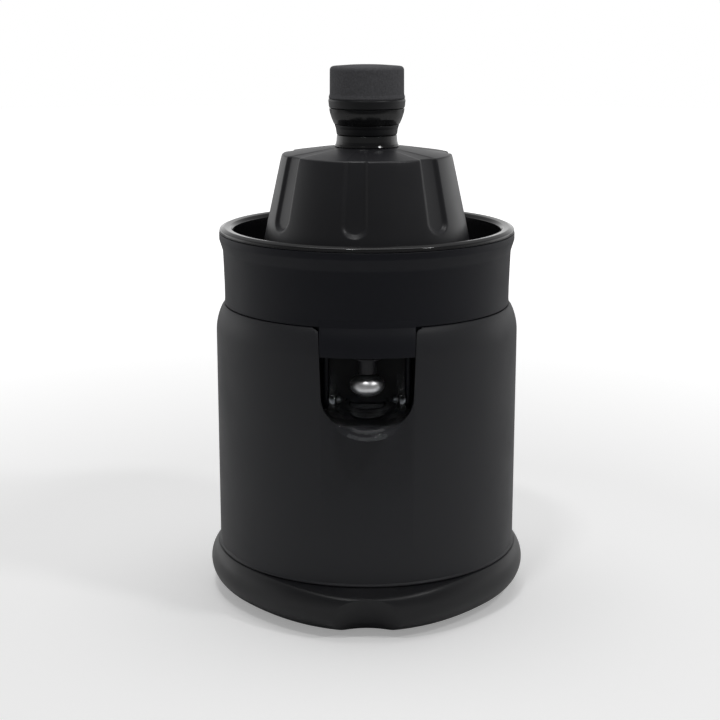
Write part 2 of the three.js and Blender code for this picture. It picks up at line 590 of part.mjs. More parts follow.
add('housing', housingShape(), 'shell');
const baseRing = add('base_ring', baseRingShape(), 'satin');
add('base_plate', basePlateShape(), 'satin');
for (const [i, angle] of feet.angles.entries()) {
  add(`foot_${i + 1}`, footShape(), 'rubber', ...polar(feet.ring, angle));
}
for (const [i, angle] of baseScrews.angles.entries()) {
  const up = caseScrew(baseScrews).translate(0, 0, plate.bottom - GAP);
  add(`base_screw_${i + 1}`, up, 'steel', ...polar(baseScrews.ring, angle));
}
// The inlet ends as far behind the axis as the nose reaches in front of it.
baseRing.geometry.computeBoundingBox();
add('cord_inlet', inletShape(-baseRing.geometry.boundingBox.min.y), 'rubber');

add('motor_deck', deckShape(), 'shell');
for (const [i, angle] of deckScrews.angles.entries()) {
  const down = caseScrew(deckScrews).rotateX(Math.PI).translate(0, 0, deck.top + GAP);
  add(`deck_screw_${i + 1}`, down, 'steel', ...polar(deckScrews.ring, angle));
}
add('spindle_bush', tube(bush.bore, bush.r, bush.bottom, deck.bossTop, 24), 'white');
add('spindle_seal', tube(seal.bore, seal.r, deck.bossTop + GAP, seal.top, 24), 'rubber');
add('gearbox_plate', gearPlateShape(), 'steel');
for (const [i, angle] of posts.angles.entries()) {
  const up = caseScrew(posts).translate(0, 0, gearPlate.bottom - GAP);
  add(`plate_screw_${i + 1}`, up, 'steel', ...polar(posts.ring, angle));
}

add('motor_can', motorCanShape(), 'steel', motorAt.x, motorAt.y);
const magnetShape = tube(motor.core + magnet.air, motor.r - motor.wall - GAP, magnet.bottom, magnet.top, 20);
add('field_magnet', magnetShape, 'rubber', motorAt.x, motorAt.y);
add('motor_end_bell', endBellShape(), 'white', motorAt.x, motorAt.y);
for (const [i, [x, y]] of motorScrewPlaces().entries()) {
  const down = caseScrew(motorScrews).rotateX(Math.PI).translate(0, 0, gearPlate.top + GAP);
  add(`motor_screw_${i + 1}`, down, 'steel', x, y);
}
for (const [name, side] of [['brush_left', -1], ['brush_right', 1]]) {
  const block = box(brush.from, brush.to, -brush.half, brush.half, brush.bottom, brush.top);
  add(name, block.rotateZ(side < 0 ? Math.PI : 0), 'rubber', motorAt.x, motorAt.y);
}
add('motor_shaft', rod(motor.shaft, 36, 104.5, 12), 'steel', motorAt.x, motorAt.y);
add('armature', armatureShape(), 'copper', motorAt.x, motorAt.y);
const commutatorShape = tube(motor.shaft + GAP, commutator.r, commutator.bottom, commutator.top, 16);
add('commutator', commutatorShape, 'copper', motorAt.x, motorAt.y);
add('motor_pinion', pinionShape(), 'steel', motorAt.x, motorAt.y);
add('compound_gear', compoundShape(), 'white', idlerAt.x, idlerAt.y);
add('compound_pin', turned([[0, 91.7], [5, 91.7], [5, 93.7], [3, 93.7], [3, 117], [0, 117]], 12), 'steel',
  idlerAt.x, idlerAt.y);
add('output_gear', outputGearShape(), 'white');
add('press_spring', springShape(), 'steel');
add('drive_spindle', spindleShape(), 'steel');
add('switch_body', switchShape(), 'amber');
add('switch_bracket', bracketShape(), 'steel');
add('switch_plunger', rod(switchBox.plunger, 80, spindle.bottom - GAP, 12), 'white');
add('terminal_block', terminalShape(), 'white');

add('juice_collector', collectorShape(), 'shell');
add('spout_pin_right', pinShape(1), 'steel');
add('spout_pin_left', pinShape(-1), 'steel');
add('spout', spoutShape(), 'clear');
add('stopper_button', stopperButtonShape(), 'silver');
add('stopper_stem', stopperStemShape(), 'shell');
add('outlet_seal', outletSealShape(), 'rubber');
add('strainer', strainerShape(), 'gloss');
add('cone_ring', tube(ring.bore, ring.r, ring.bottom, ring.top, 24), 'white');
add('reamer_cone', coneShape(), 'gloss');
add('press_lid', lidShape(), 'satin');
add('lid_neck', neckShape(), 'gloss');
add('neck_collar', collarShape(), 'grip');
add('knob_base', knobBaseShape(), 'gloss');
add('knob_grip', gripShape(), 'grip');
add('knob_screw', knobScrewShape(), 'steel');

export default juicer;
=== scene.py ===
"""Citrus press juicer: the finished pieces, materials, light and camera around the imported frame.

Outlines are in millimetres as (radius, height) or (radius, height, fillet); meshes are in metres.
The front, with the spout, faces -Y.
"""
import json
import math

import bmesh
import bpy
from mathutils import Matrix, Vector


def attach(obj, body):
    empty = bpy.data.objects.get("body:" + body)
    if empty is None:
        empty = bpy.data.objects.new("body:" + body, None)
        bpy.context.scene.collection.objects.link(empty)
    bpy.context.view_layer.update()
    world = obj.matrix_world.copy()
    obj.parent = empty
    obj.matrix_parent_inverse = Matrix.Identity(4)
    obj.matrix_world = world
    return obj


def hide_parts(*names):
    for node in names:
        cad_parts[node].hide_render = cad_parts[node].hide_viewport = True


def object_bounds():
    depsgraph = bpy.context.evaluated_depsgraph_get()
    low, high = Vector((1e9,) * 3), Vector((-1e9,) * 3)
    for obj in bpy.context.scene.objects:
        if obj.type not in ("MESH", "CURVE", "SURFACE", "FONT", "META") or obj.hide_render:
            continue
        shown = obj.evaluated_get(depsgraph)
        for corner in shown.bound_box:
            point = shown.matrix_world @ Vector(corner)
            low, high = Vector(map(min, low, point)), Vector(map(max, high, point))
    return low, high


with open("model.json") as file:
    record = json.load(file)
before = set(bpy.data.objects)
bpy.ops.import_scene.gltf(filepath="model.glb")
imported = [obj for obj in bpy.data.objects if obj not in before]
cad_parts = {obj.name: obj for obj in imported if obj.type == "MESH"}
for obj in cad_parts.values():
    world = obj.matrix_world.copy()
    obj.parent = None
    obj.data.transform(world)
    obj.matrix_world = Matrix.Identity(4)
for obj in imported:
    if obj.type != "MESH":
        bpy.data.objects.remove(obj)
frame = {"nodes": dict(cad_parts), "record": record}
cad_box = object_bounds()
MM = 0.001
SCENE = bpy.context.scene


# ------------------------------------------------------------------ mesh helpers
def arc(r, z, radius, start, stop, steps=8):
    """Points of an arc round (r, z), with its angles in degrees."""
    turns = [math.radians(start + (stop - start) * i / steps) for i in range(steps + 1)]
    return [(r + radius * math.cos(t), z + radius * math.sin(t)) for t in turns]


def filleted(points, steps=4):
    """Rounds each corner of a closed outline that carries a third number, its fillet radius."""
    out = []
    count = len(points)
    for i, point in enumerate(points):
        if len(point) == 2:
            out.append(tuple(point))
            continue
        here = Vector(point[:2])
        before = Vector(points[i - 1][:2]) - here
        after = Vector(points[(i + 1) % count][:2]) - here
        half = before.angle(after) / 2
        reach = min(point[2] / math.tan(half), before.length * 0.49, after.length * 0.49)
        radius = reach * math.tan(half)
        bisector = (before.normalized() + after.normalized()).normalized()
        middle = here + bisector * radius / math.sin(half)
        first = here + before.normalized() * reach - middle
        last = here + after.normalized() * reach - middle
        for k in range(steps + 1):
            out.append(tuple(middle + first.slerp(last, k / steps).normalized() * radius))
    return out


def new_object(name, verts, faces):
    mesh = bpy.data.meshes.new(name)
    mesh.from_pydata(verts, [], faces)
    mesh.update()
    obj = bpy.data.objects.new(name, mesh)
    SCENE.collection.objects.link(obj)
    return tidy(obj)


def tidy(obj):
    """Welds, turns faces outwards and drops flat faces."""
    work = bmesh.new()
    work.from_mesh(obj.data)
    bmesh.ops.remove_doubles(work, verts=work.verts, dist=1e-7)
    bmesh.ops.dissolve_degenerate(work, edges=work.edges, dist=1e-7)
    bmesh.ops.recalc_face_normals(work, faces=work.faces)
    work.to_mesh(obj.data)
    work.free()
    return obj


def smooth(obj, angle=32):
    obj.data.shade_smooth()
    obj.data.set_sharp_from_angle(angle=math.radians(angle))
    return obj


def turned(name, outline, facets=160, shape=None, fillet_steps=4):
    """A closed (radius, height) outline turned about Z; shape(angle, r, z) may move each point."""
    points = filleted(outline, fillet_steps)
    verts, faces, rings = [], [], []
    for r, z in points:
        if r < 1e-6:
            rings.append([len(verts)] * facets)
            verts.append((0, 0, z * MM))
            continue
        rings.append(list(range(len(verts), len(verts) + facets)))
        for k in range(facets):
            turn = 2 * math.pi * k / facets
            rr, zz = shape(math.degrees(turn), r, z) if shape else (r, z)
            verts.append((rr * MM * math.cos(turn), rr * MM * math.sin(turn), zz * MM))
    for i, low in enumerate(rings):
        high = rings[(i + 1) % len(rings)]
        for k in range(facets):
            m = (k + 1) % facets
            corners = [low[k], low[m], high[m], high[k]]
            corners = list(dict.fromkeys(corners))
            if len(corners) > 2:
                faces.append(corners)
    return new_object(name, verts, faces)


def prism(name, outline, low, high, axis="Z"):
    """A flat closed outline in millimetres, extruded from low to high along an axis."""
    order = {"Z": (0, 1, 2), "Y": (0, 2, 1), "X": (2, 0, 1)}[axis]
    count = len(outline)
    corners = [(a, b, c) for c in (low, high) for a, b in outline]
    verts = [tuple(corner[k] * MM for k in order) for corner in corners]
    faces = [list(range(count))[::-1], list(range(count, 2 * count))]
    faces += [[k, (k + 1) % count, (k + 1) % count + count, k + count] for k in range(count)]
    return new_object(name, verts, faces)


def block(name, x0, x1, y0, y1, z0, z1):
    return prism(name, [(x0, y0), (x1, y0), (x1, y1), (x0, y1)], z0, z1)


def pipe(name, r, low, high, axis="Z", at=(0, 0, 0), facets=32):
    turns = [2 * math.pi * k / facets for k in range(facets)]
    obj = prism(name, [(r * math.cos(t), r * math.sin(t)) for t in turns], low, high, axis)
    obj.data.transform(Matrix.Translation(Vector(at) * MM))
    return obj


def baked(obj):
    """Applies the modifiers on obj."""
    bpy.context.view_layer.update()
    seen = obj.evaluated_get(bpy.context.evaluated_depsgraph_get())
    mesh = bpy.data.meshes.new_from_object(seen)
    obj.modifiers.clear()
    obj.data = mesh
    return obj


def combine(obj, others, operation):
    """Joins others to obj (UNION), cuts them off it (DIFFERENCE) or keeps what they share (INTERSECT)."""
    for other in others:
        step = obj.modifiers.new("step", "BOOLEAN")
        step.operation = operation
        step.solver = "EXACT"
        step.object = other
    baked(obj)
    for other in others:
        bpy.data.objects.remove(other)
    return tidy(obj)


def bevelled(obj, width, segments=2, angle=45):
    edge = obj.modifiers.new("edge", "BEVEL")
    edge.width = width * MM
    edge.segments = segments
    edge.limit_method = "ANGLE"
    edge.angle_limit = math.radians(angle)
    edge.use_clamp_overlap = True
    return tidy(baked(obj))


def moved(obj, x=0, y=0, z=0):
    """Moves obj's mesh by millimetres."""
    obj.data.transform(Matrix.Translation((x * MM, y * MM, z * MM)))
    return obj


def spun(obj, degrees):
    """Turns obj's mesh about the Z axis."""
    obj.data.transform(Matrix.Rotation(math.radians(degrees), 4, "Z"))
    return obj


def polar(radius, degrees):
    return radius * math.cos(math.radians(degrees)), radius * math.sin(math.radians(degrees))


def hexagon(radius):
    return [polar(radius, 60 * i) for i in range(6)]


def away(angle, centre):
    """The angle between a direction and a centre line, from 0 to 180."""
    return abs((angle - centre + 540) % 360 - 180)


def ease(x):
    x = min(1.0, max(0.0, x))
    return x * x * (3 - 2 * x)


# ------------------------------------------------------------------ materials
def ramp(nodes, links, value, reach, result, interpolation="LINEAR"):
    """Maps a value's reach onto a result, both as (low, high)."""
    node = nodes.new("ShaderNodeMapRange")
    node.interpolation_type = interpolation
    node.inputs["From Min"].default_value, node.inputs["From Max"].default_value = reach
    node.inputs["To Min"].default_value, node.inputs["To Max"].default_value = result
    links.new(value, node.inputs["Value"])
    return node.outputs["Result"]


def moulded(name, color, roughness, grain=0.0, grain_size=0.35, level=0.5, coat=0.0, metallic=0.0,
            vary=0.12, mottle_scale=38):
    """Moulded plastic, rubber or plain metal.

    vary is the depth of the mottling, and grain_size the size of the surface grain in millimetres.
    """
    material = bpy.data.materials.new(name)
    material.use_nodes = True
    nodes, links = material.node_tree.nodes, material.node_tree.links
    shader = nodes["Principled BSDF"]
    shader.inputs["Metallic"].default_value = metallic
    shader.inputs["Specular IOR Level"].default_value = level
    shader.inputs["Coat Weight"].default_value = coat
    shader.inputs["Coat Roughness"].default_value = 0.06
    where = nodes.new("ShaderNodeTexCoord")
    mottle = nodes.new("ShaderNodeTexNoise")
    mottle.inputs["Scale"].default_value = mottle_scale
    mottle.inputs["Detail"].default_value = 4
    links.new(where.outputs["Object"], mottle.inputs["Vector"])
    tone = nodes.new("ShaderNodeMix")
    tone.data_type = "RGBA"
    tone.inputs["A"].default_value = (*[c * (1 - vary) for c in color], 1)
    tone.inputs["B"].default_value = (*[c * (1 + vary) for c in color], 1)
    links.new(mottle.outputs["Fac"], tone.inputs["Factor"])
    links.new(tone.outputs["Result"], shader.inputs["Base Color"])
    uneven = (roughness * 0.92, min(1, roughness * 1.08))
    links.new(ramp(nodes, links, mottle.outputs["Fac"], (0.3, 0.7), uneven), shader.inputs["Roughness"])
    if grain:
        fine = nodes.new("ShaderNodeTexNoise")
        fine.inputs["Scale"].default_value = 1000 / grain_size
        fine.inputs["Detail"].default_value = 2
        links.new(where.outputs["Object"], fine.inputs["Vector"])
        bump = nodes.new("ShaderNodeBump")
        bump.inputs["Strength"].default_value = grain
        bump.inputs["Distance"].default_value = grain_size * 0.2 * MM
        links.new(fine.outputs["Fac"], bump.inputs["Height"])
        links.new(bump.outputs["Normal"], shader.inputs["Normal"])
    return material


def clear_plastic(name):
    """Clear moulded plastic: a calm view through its walls under a glossy skin."""
    material = moulded(name, (0.92, 0.94, 0.96), 0.03, vary=0.01, coat=0.3)
    shader = material.node_tree.nodes["Principled BSDF"]
    shader.inputs["Transmission Weight"].default_value = 1
    shader.inputs["IOR"].default_value = 1.06
    return material


def brushed(name, color, roughness):
    """Turned metal: fine rings about the vertical axis."""
    material = moulded(name, color, roughness, metallic=1, vary=0.05)
    nodes, links = material.node_tree.nodes, material.node_tree.links
    where = nodes["Texture Coordinate"]
    rings = nodes.new("ShaderNodeTexNoise")
    rings.inputs["Scale"].default_value = 1
    rings.inputs["Detail"].default_value = 3
    squash = nodes.new("ShaderNodeMapping")
    squash.inputs["Scale"].default_value = (60, 60, 4000)
    links.new(where.outputs["Object"], squash.inputs["Vector"])
    links.new(squash.outputs["Vector"], rings.inputs["Vector"])
    bump = nodes.new("ShaderNodeBump")
    bump.inputs["Strength"].default_value = 0.12
    bump.inputs["Distance"].default_value = 0.02 * MM
    links.new(rings.outputs["Fac"], bump.inputs["Height"])
    links.new(bump.outputs["Normal"], nodes["Principled BSDF"].inputs["Normal"])
    return material


# One look per material slot of the CAD; "bowl" and "lid" are looks of single pieces.
LOOKS = {
    "shell": moulded("soft_touch_black", (0.021, 0.0215, 0.025), 0.5, grain=0.25, level=0.36),
    "bowl": moulded("matte_black", (0.0048, 0.0054, 0.0095), 0.5, grain=0.25, level=0.32),
    "lid": moulded("lid_black", (0.0175, 0.0176, 0.0205), 0.38, grain=0.12, level=0.42),
    "satin": moulded("satin_black", (0.0105, 0.0107, 0.0125), 0.4, grain=0.12, level=0.42),
    "gloss": moulded("gloss_black", (0.0125, 0.0125, 0.0135), 0.12, level=0.4),
    "grip": moulded("grained_grip", (0.094, 0.094, 0.100), 0.85, grain=0.6, grain_size=0.7, level=0.15,
                    vary=0.4, mottle_scale=900),
    "rubber": moulded("rubber_black", (0.012, 0.012, 0.012), 0.8, grain=0.4, level=0.3),
    "white": moulded("natural_nylon", (0.72, 0.70, 0.62), 0.45, grain=0.15, vary=0.04),
    "amber": moulded("phenolic_brown", (0.20, 0.11, 0.05), 0.5, grain=0.3),
    "clear": clear_plastic("clear_plastic"),
    "steel": brushed("turned_steel", (0.55, 0.56, 0.58), 0.32),
    "silver": brushed("satin_silver", (0.82, 0.82, 0.83), 0.4),
    "copper": moulded("copper", (0.55, 0.25, 0.12), 0.35, metallic=1, grain=0.3, grain_size=1.2),
}


def place(obj, body, slot, *nodes, angle=32, look=None):
    """Finishes a piece: shading, material, the body it rides on and the CAD nodes it replaces.

    look names a material of the piece's own where it isn't the slot's.
    """
    smooth(obj, angle)
    obj.data.materials.clear()
    obj.data.materials.append(LOOKS[look or slot])
    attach(obj, body)
    if nodes:
        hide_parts(*nodes)
    return obj


# ------------------------------------------------------------------ housing and base
BODY_R = 82.7
INSIDE_R = 80.2
BODY_FOOT = 26.4
NOTCH_HALF = 24.8
BODY_TOP = 162.1
SHOULDER = arc(BODY_R - 30, 147, 30, 0, 26, 10)
FRONT = -90
INLET_Z = 14
BASE_SCREW_R = 64
BASE_SCREW_ANGLES = (45, 135, 225, 315)
DECK_SCREW_R = 72
DECK_SCREW_ANGLES = (60, 180, 300)
FOOT_R = 60
FOOT_ANGLES = (0, 90, 180, 270)


def notch_outline(grow=0.0):
    """The U of the front notch as (x, z), its top corners rolled outwards."""
    top, bottom, corner, roll = NOTCH_HALF + grow, 23.7 + grow, 13.4, 2.6
    floor = 113 - grow
    roll_z = BODY_TOP - roll - 0.6
    right = arc(bottom - corner, floor + corner, corner, -90, 0, 12)
    right += [(top, BODY_TOP - roll - 2)]
    for degrees in (10, 30, 50, 70, 90):
        turn = math.radians(degrees)
        right.append((top + roll - roll * math.cos(turn), roll_z + roll * math.sin(turn)))
    right += [(top + roll + 1, BODY_TOP + 12)]
    return right + [(-x, z) for x, z in reversed(right)]


def make_housing():
    outline = [(INSIDE_R, BODY_FOOT), (BODY_R + 0.75, BODY_FOOT, 0.3), (BODY_R + 0.75, 27.1, 0.15),
               (BODY_R + 0.02, 28.0, 0.15), (BODY_R, 34)]
    outline += SHOULDER
    outline += [(78.3, BODY_TOP, 0.8), (77.2, BODY_TOP, 0.3), (77.2, 158.5), (INSIDE_R, 151)]
    shell = turned("housing_shell", outline, 240)
    combine(shell, [prism("notch_cutter", notch_outline(), -100, -50, "Y")], "DIFFERENCE")
    bevelled(shell, 0.5, 2, 60)
    parts = []
    for angle in BASE_SCREW_ANGLES:
        boss = turned("boss", [(1.6, 5.7), (5, 5.7, 0.4), (5, 40, 0.6), (1.6, 40)], 24)
        rib = block("rib", 68.6, INSIDE_R + 1, -1.5, 1.5, 30, 40)
        parts += [moved(boss, *polar(BASE_SCREW_R, angle)), spun(rib, angle)]
    for angle in DECK_SCREW_ANGLES:
        boss = turned("boss", [(1.6, 122), (5, 122, 0.4), (5, 133.7, 0.4), (1.6, 133.7)], 24)
        rib = block("rib", 76.6, INSIDE_R + 1, -2, 2, 122, 133.7)
        parts += [moved(boss, *polar(DECK_SCREW_R, angle)), spun(rib, angle)]
    combine(shell, parts, "UNION")
    place(shell, "body", "shell", "housing")


def make_base_ring():
    """A rounded ring that bulges into a nose under the spout; a scooped hollow cuts the nose.

    Its upper edge meets a ledge round the housing, which slopes forwards over the nose.
    """
    centre_r, centre_z, wide, high = 71.2, 16.4, 16.8, 15.1
    low, top, steps = -62, 40, 64
    nose_reach, nose_spread, nose_square = 6.7, 52, 0.35
    ledge, ledge_fall, ledge_blend, nose_blend = 26.1, 0.27, 0.1, 1.2
    hollow_spread, hollow_half, hollow_depth = 20, 17.5, 5.5
    hollow_top, hollow_foot, hollow_low, hollow_high = 92.1, 81.2, 3, 20
    hollow_blend, side_blend = 0.08, 12
    fine_from, fine_step, fine_count = -106, 0.25, 128
    coarse_from, coarse_turn, coarse_count = -74, 328, 240
    angles = [fine_from + fine_step * i for i in range(fine_count)]
    angles += [coarse_from + coarse_turn * i / coarse_count for i in range(coarse_count)]
    verts = []
    for angle in angles:
        off = away(angle, FRONT)
        nose = math.cos(math.radians(90 * min(1, off / nose_spread))) ** 2
        section = [(77, 8.2), (71.5, 8.2), (71.5, 5.7), (77, 5.7), (77, 3.0), (77.6, 2.0)]
        for i in range(steps + 1):
            t = math.radians(low + (top - low) * i / steps)
            swell = math.cos(t) if t < 0 else math.cos(t) ** (1 - nose_square * nose)
            r = centre_r + wide * swell + nose_reach * nose * (1 if t < 0 else swell)
            z = centre_z + high * math.sin(t)
            slope = ledge - ledge_fall * nose * max(0, r - BODY_R)
            z = (z + slope - math.hypot(z - slope, ledge_blend + nose_blend * nose)) / 2
            if off < hollow_spread:
                side = r * math.sin(math.radians(off)) / hollow_half
                scoop = hollow_foot + (hollow_top - hollow_foot) * max(0, z - hollow_low) / hollow_high
                hollow = (scoop + hollow_depth * side ** 2) / math.cos(math.radians(off))
                soft = hollow_blend * (1 + side_blend * side ** 2)
                r = (r + hollow - math.hypot(r - hollow, soft)) / 2
            section.append((r, z))
        edge_r, edge_z = section[-1]
        section += [(edge_r - 0.9, edge_z + 0.24), (83.1, ledge), (77, ledge)]
        verts += [(*[v * MM for v in polar(r, angle)], z * MM) for r, z in section]
    count, rows = len(section), len(angles)
    faces = []
    for k in range(rows):
        here, beyond = k * count, (k + 1) % rows * count
        for i in range(count):
            m = (i + 1) % count
            faces.append([here + i, beyond + i, beyond + m, here + m])
    ring = new_object("base_ring_moulding", verts, faces)
    combine(ring, [pipe("inlet_cutter", 5.3, 60, 100, "Y", (0, 0, INLET_Z))], "DIFFERENCE")
    place(ring, "body", "satin", "base_ring", angle=16)


def make_base_plate():
    rim = [(0, 2.4), (76.6, 2.4, 0.6), (76.6, 5.4, 0.6), (0, 5.4)]
    plate = turned("base_plate_moulding", rim, 160)
    cutters = [pipe("hole", 1.8, 0, 9, at=(*polar(BASE_SCREW_R, a), 0)) for a in BASE_SCREW_ANGLES]
    cutters += [pipe("hole", 3.3, 0, 9, at=(*polar(FOOT_R, a), 0)) for a in FOOT_ANGLES]
    vent_half, vent_r = 20, 2
    turns = [math.radians(15 + 30 * i) for i in range(12)]
    for x in (-24, -12, 0, 12, 24):
        ends = [(x + vent_r * math.cos(t), math.copysign(vent_half, math.sin(t)) + vent_r * math.sin(t))
                for t in turns]
        cutters.append(prism("vent", ends, 0, 9))
    groove = turned("groove", [(50, 2.0), (52, 2.0), (52, 2.9), (50, 2.9)], 120)
    combine(plate, cutters + [groove], "DIFFERENCE")
    bevelled(plate, 0.25, 1, 60)
    place(plate, "body", "satin", "base_plate")


def make_feet():
    outline = [(0, 0.35), (3.5, 0.35, 0.3), (4.2, 0, 0.2), (8, 0, 0.9), (7.6, 2.1, 0.3), (3, 2.1),
               (3, 7.4, 0.8), (0, 7.4)]
    for number, angle in enumerate(FOOT_ANGLES, 1):
        foot = moved(turned(f"foot_pad_{number}", outline, 48), *polar(FOOT_R, angle))
        place(foot, "body", "rubber", f"foot_{number}")


def make_inlet():
    tip = -cad_box[0][1] / MM
    outline = [(3.3, 74, 0.3), (5, 74, 0.3), (5, 88.3), (7.5, 88.3, 0.5), (7.5, 90, 0.6),
               (5.2, 90.4, 0.6), (5, tip, 0.8), (3.3, tip, 0.6)]
    gland = turned("cord_gland", outline, 48)
    lie_down = Matrix.Rotation(-math.pi / 2, 4, "X")
    gland.data.transform(Matrix.Translation((0, 0, INLET_Z * MM)) @ lie_down)
    place(gland, "body", "rubber", "cord_inlet")


# ------------------------------------------------------------------ deck
def make_deck():
    """The plate that closes the motor space, with the spindle tower and the spout's pocket."""
    outline = [(6.6, 134), (79.8, 134, 0.5), (79.8, 137, 0.5), (12, 137, 2.5), (9, 141, 1.5),
               (9, 158, 0.7), (6.6, 158)]
    deck = turned("deck_moulding", outline, 128)
    half, wall, leg_r, leg_angles = 25.5, 2, 60, (25, 195, 315)
    outer = block("well", -half - wall, half + wall, -79.2, -50, 109, 150)
    keep = pipe("keep", 79.4, 100, 160, facets=128)
    combine(outer, [keep], "INTERSECT")
    legs = [pipe("leg", 4.5, 97.3, 135, at=(*polar(leg_r, a), 0), facets=24) for a in leg_angles]
    combine(deck, [outer] + legs, "UNION")
    hollow = block("hollow", -half, half, -95, -52, 111, 155)
    holes = [pipe("hole", 1.8, 130, 140, at=(*polar(DECK_SCREW_R, a), 0)) for a in DECK_SCREW_ANGLES]
    holes += [pipe("hole", 1.5, 90, 110, at=(*polar(leg_r, a), 0)) for a in leg_angles]
    combine(deck, [hollow] + holes, "DIFFERENCE")
    bevelled(deck, 0.4, 2, 60)
    place(deck, "body", "shell", "motor_deck")


# ------------------------------------------------------------------ collector, spout and stopper
HINGE = (0, -61, 121)
OUTLET_Y = -70


def make_collector():
    """The juice bowl, with the front tab over the notch and two lugs that carry the spout."""
    wall = [(10, 151.9, 0.4), (76.6, 151.9, 1.5), (76.6, 162.5, 0.3), (78.0, 162.5, 0.4), (77.8, 165),
            (77.85, 172), (78.2, 184), (78.5, 191.5, 6), (80.35, 197.5, 2.5), (80.35, 201.1, 0.45),
            (77.2, 201.1, 0.5), (75.2, 192, 3), (75.2, 154.6, 5), (12.5, 154.6, 4), (12.5, 177, 0.8),
            (10, 177, 0.4)]
    bowl = turned("collector_bowl", wall, 240)
    apron = [(78.6, 148), (BODY_R, 148, 0.9)] + SHOULDER[1:]
    apron += [(78.4, 162.6, 2), (77.9, 166), (75.9, 166), (75.9, 153), (78.6, 153)]
    front = turned("apron", apron, 240)
    gap, tab_top = 0.35, 170
    tab_half = NOTCH_HALF - gap
    edge = [(x, z) for x, z in notch_outline(-gap) if x > 0 and z < 158]
    wedge = edge + [(tab_half, tab_top), (-tab_half, tab_top)] + [(-x, z) for x, z in reversed(edge)]
    combine(front, [prism("wedge", wedge, -95, -60, "Y")], "INTERSECT")
    bevelled(front, 0.35, 2, 60)
    lug_near, lug_far, lug_top = 19.8, 22.8, 153
    turns = [math.pi + math.pi * i / 10 for i in range(11)]
    lug_foot = [(HINGE[1] + 5 * math.cos(t), HINGE[2] + 4.5 * math.sin(t)) for t in turns]
    lug_outline = [(-66, lug_top), *lug_foot, (-56, lug_top)]
    lugs = []
    for low, high in ((-lug_far, -lug_near), (lug_near, lug_far)):
        lugs.append(bevelled(prism("lug", lug_outline, low, high, "X"), 1.2, 3))
    combine(bowl, [front] + lugs, "UNION")
    drain = pipe("drain", 6, 150, 157, at=(0, OUTLET_Y, 0))
    combine(bowl, [drain, pipe("pivot", 2.3, -30, 30, "X", HINGE)], "DIFFERENCE")
    bridge = block("bridge", -7, 7, OUTLET_Y - 4.6, OUTLET_Y + 4.6, 151.95, 153.5)
    combine(bowl, [bridge], "UNION")
    combine(bowl, [pipe("guide", 3.3, 150, 157, at=(0, OUTLET_Y, 0))], "DIFFERENCE")
    place(bowl, "collector", "shell", "juice_collector", look="bowl")
    for side, name in ((1, "right"), (-1, "left")):
        outline = [(0, 14.4), (2, 14.4, 0.5), (2, 22.6, 0.4), (0, 22.6)]
        pin = turned(f"pivot_pin_{name}", outline, 40)
        turn = Matrix.Rotation(side * math.pi / 2, 4, "Y")
        pin.data.transform(Matrix.Translation(Vector(HINGE) * MM) @ turn)
        place(pin, "collector", "steel", f"spout_pin_{name}")


def spout_section(bottom, top, wall, half=19.2, arch=14, steps=18):
    """A U-shaped slice as (x, z): down and round the outside, then back along the inside."""
    spring = bottom + arch
    turns = [math.pi + math.pi * i / steps for i in range(steps + 1)]
    outer = [(half * math.cos(t), spring + (spring - bottom) * math.sin(t)) for t in turns]
    depth = spring - bottom - wall * 0.75
    inner = [((half - wall) * math.cos(t), spring + depth * math.sin(t)) for t in turns]
    lip = 0.8
    rim = [(half, top - lip), (half - lip, top), (half - wall + lip, top), (half - wall, top - lip)]
    left = [(-x, z) for x, z in reversed(rim)]
    return outer + rim + inner[::-1] + left


def make_spout():
    """Clear trough: level in the pocket, then bending down to a leaning lip with low corners."""
    rear, level, tip, sill, lip = -57, -77, -94, 113.7, 107.6
    top_edge, top_fall, lean_slope, wall, wall_loss = 134, 10, 0.42, 4.4, 1.8
    bottom_bend, top_bend, lean_bend = 2.4, 1.3, 1.6
    count = 48
    loops = []
    for i in range(count + 1):
        y = rear + (tip - rear) * i / count
        bend = max(0, (level - y) / (level - tip))
        bottom = sill + (lip - sill) * bend ** bottom_bend
        top = top_edge - top_fall * bend ** top_bend
        lean = lean_slope * bend ** lean_bend
        section = spout_section(bottom, top, wall - wall_loss * i / count)
        loops.append([(x, y + lean * (z - bottom), z) for x, z in section])
    size = len(loops[0])
    verts = [(x * MM, y * MM, z * MM) for loop in loops for x, y, z in loop]
    faces = []
    for step in range(count):
        here, beyond = step * size, (step + 1) * size
        for i in range(size):
            m = (i + 1) % size
            faces.append([here + i, here + m, beyond + m, beyond + i])
    faces += [list(range(size)), list(range(count * size, (count + 1) * size))[::-1]]
    trough = new_object("clear_spout", verts, faces)
    bevelled(trough, 0.7, 3, 55)
    outline = [(0, 114.5), (6, 114.5, 2), (11.3, 117.4), (11.3, 124, 0.8), (9.4, 124, 0.6),
               (9.0, 120.5, 1), (0, 120.2)]
    cup = moved(turned("cup", outline, 64), y=OUTLET_Y)
    combine(trough, [cup], "UNION")
    combine(trough, [pipe("pivot", 2.3, -30, 30, "X", HINGE)], "DIFFERENCE")
    place(trough, "spout", "clear", "spout")


